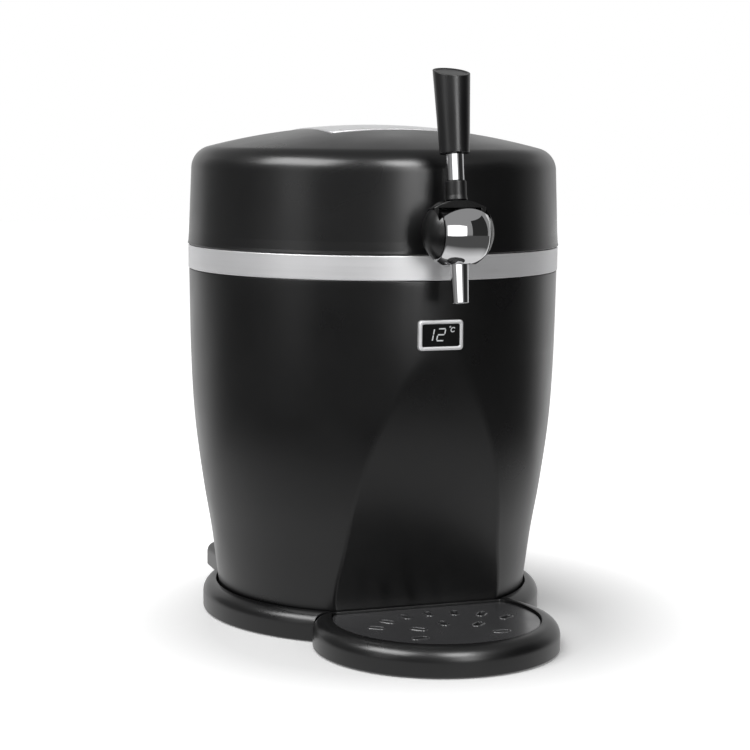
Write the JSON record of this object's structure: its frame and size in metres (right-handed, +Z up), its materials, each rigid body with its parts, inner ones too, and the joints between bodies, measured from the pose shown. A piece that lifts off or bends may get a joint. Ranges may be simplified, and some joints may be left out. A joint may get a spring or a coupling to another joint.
{
  "type": "countertop keg drink dispenser with a lever tap",
  "caption": "Round black countertop cooler for a small keg, with a hinged lid that carries a lever tap, a front display, a rear cooling unit and a pull-out drip tray.",
  "frame": {"origin": "on the table, under the body's axis, at the underside of the centre foot", "axes": "+Z up the body's axis; -Y towards the tap, display and drip tray; +X to the right seen from the front"},
  "size_m": [0.276, 0.3726, 0.4007],
  "materials": {
    "black_satin_plastic": "fine matt black with a soft sheen",
    "black_gloss_plastic": "polished black",
    "black_grip_plastic": "satin black",
    "silver_satin": "satin silver",
    "chrome_plate": "polished chrome",
    "aluminium": "mill finish",
    "steel": "bright",
    "rubber": "matt",
    "foam": "rigid insulating foam",
    "grey_plastic": "matt dark grey",
    "ceramic": "white ceramic faces",
    "circuit_board": "green solder mask",
    "clear_hose": "milky hose",
    "brass": "machined"
  },
  "bodies": {
    "housing": {"base_skirt": "black_satin_plastic", "base_plate": "black_satin_plastic", "foot_centre": "rubber", "foot_front_left": "rubber", "foot_front_right": "rubber", "foot_rear_left": "rubber", "foot_rear_right": "rubber", "body_shell": "black_satin_plastic", "trim_band": "silver_satin", "bay_liner": "aluminium", "insulation_jacket": "foam", "bay_rim": "grey_plastic", "rim_gasket": "rubber", "cold_block": "aluminium", "peltier_module": "ceramic", "heat_sink": "aluminium", "fan_frame": "black_satin_plastic", "rear_housing": "black_satin_plastic", "vent_grille": "black_satin_plastic", "power_inlet": "black_satin_plastic", "switch_frame": "black_satin_plastic", "control_board": "circuit_board", "display_bezel": "silver_satin", "display_window": "black_gloss_plastic", "display_board": "circuit_board", "hinge_bracket": "black_satin_plastic", "hinge_pin": "steel"},
    "fan": {"fan_rotor": "black_satin_plastic"},
    "rocker": {"power_rocker": "black_gloss_plastic"},
    "temperature_down": {"temperature_down_button": "black_gloss_plastic"},
    "temperature_up": {"temperature_up_button": "black_gloss_plastic"},
    "lid": {"lid_shell": "black_satin_plastic", "lid_insulation": "foam", "lid_liner": "grey_plastic", "hinge_leaf": "black_satin_plastic", "latch_guide": "grey_plastic", "plate_spring": "steel", "keg_coupler": "black_satin_plastic", "coupler_seal": "rubber", "beer_line": "clear_hose", "gas_regulator": "brass", "cartridge_sleeve": "aluminium", "faucet_shank": "black_gloss_plastic", "shank_nut": "brass", "faucet_core": "black_gloss_plastic", "faucet_front_shell": "chrome_plate", "faucet_rear_shell": "black_gloss_plastic", "side_cap_right": "black_gloss_plastic", "side_cap_left": "black_gloss_plastic", "spout": "chrome_plate"},
    "push_plate": {"release_plate": "silver_satin"},
    "tap_lever": {"valve_spindle": "steel", "lever_yoke": "black_gloss_plastic", "lever_sleeve": "black_gloss_plastic", "lever_rod": "chrome_plate", "lever_grip": "black_grip_plastic"},
    "regulator_knob": {"pressure_knob": "black_gloss_plastic"},
    "tray": {"drip_tray": "black_satin_plastic"},
    "tray_plate": {"drip_plate": "black_gloss_plastic"}
  },
  "joints": [
    {"name": "lid_hinge", "type": "hinge", "parent": "housing", "child": "lid", "pos_m": [0, 0.145, 0.2765], "axis": [-1, 0, 0], "range_deg": [0, 80]},
    {"name": "tap_lever_hinge", "type": "hinge", "parent": "lid", "child": "tap_lever", "pos_m": [0, -0.1653, 0.2909], "axis": [1, 0, 0], "range_deg": [0, 35.5]},
    {"name": "push_plate_slide", "type": "slide", "parent": "lid", "child": "push_plate", "axis": [0, 0, -1], "range_m": [0, 0.0025], "stiffness_N_per_m": 900, "springref_m": -0.001, "deforming": ["plate_spring"]},
    {"name": "pressure_knob_turn", "type": "hinge", "parent": "lid", "child": "regulator_knob", "pos_m": [0.04, -0.0213, 0.3075], "axis": [0, 1, 0], "range_deg": [0, 270]},
    {"name": "fan_spin", "type": "hinge", "parent": "housing", "child": "fan", "pos_m": [0, 0.13345, 0.13], "axis": [0, 1, 0], "continuous": true},
    {"name": "power_rocker_hinge", "type": "hinge", "parent": "housing", "child": "rocker", "pos_m": [0.034, 0.147, 0.058], "axis": [1, 0, 0], "range_deg": [0, 16]},
    {"name": "temperature_down_press", "type": "slide", "parent": "housing", "child": "temperature_down", "axis": [0, -1, 0], "range_m": [0, 0.0012], "stiffness_N_per_m": 500, "springref_m": -0.0005},
    {"name": "temperature_up_press", "type": "slide", "parent": "housing", "child": "temperature_up", "axis": [0, -1, 0], "range_m": [0, 0.0012], "stiffness_N_per_m": 500, "springref_m": -0.0005},
    {"name": "drip_tray_slide", "type": "slide", "parent": "housing", "child": "tray", "axis": [0, -1, 0], "range_m": [0, 0.09]},
    {"name": "drip_plate_lift", "type": "slide", "parent": "tray", "child": "tray_plate", "axis": [0, 0, 1], "range_m": [0, 0.02]}
  ]
}
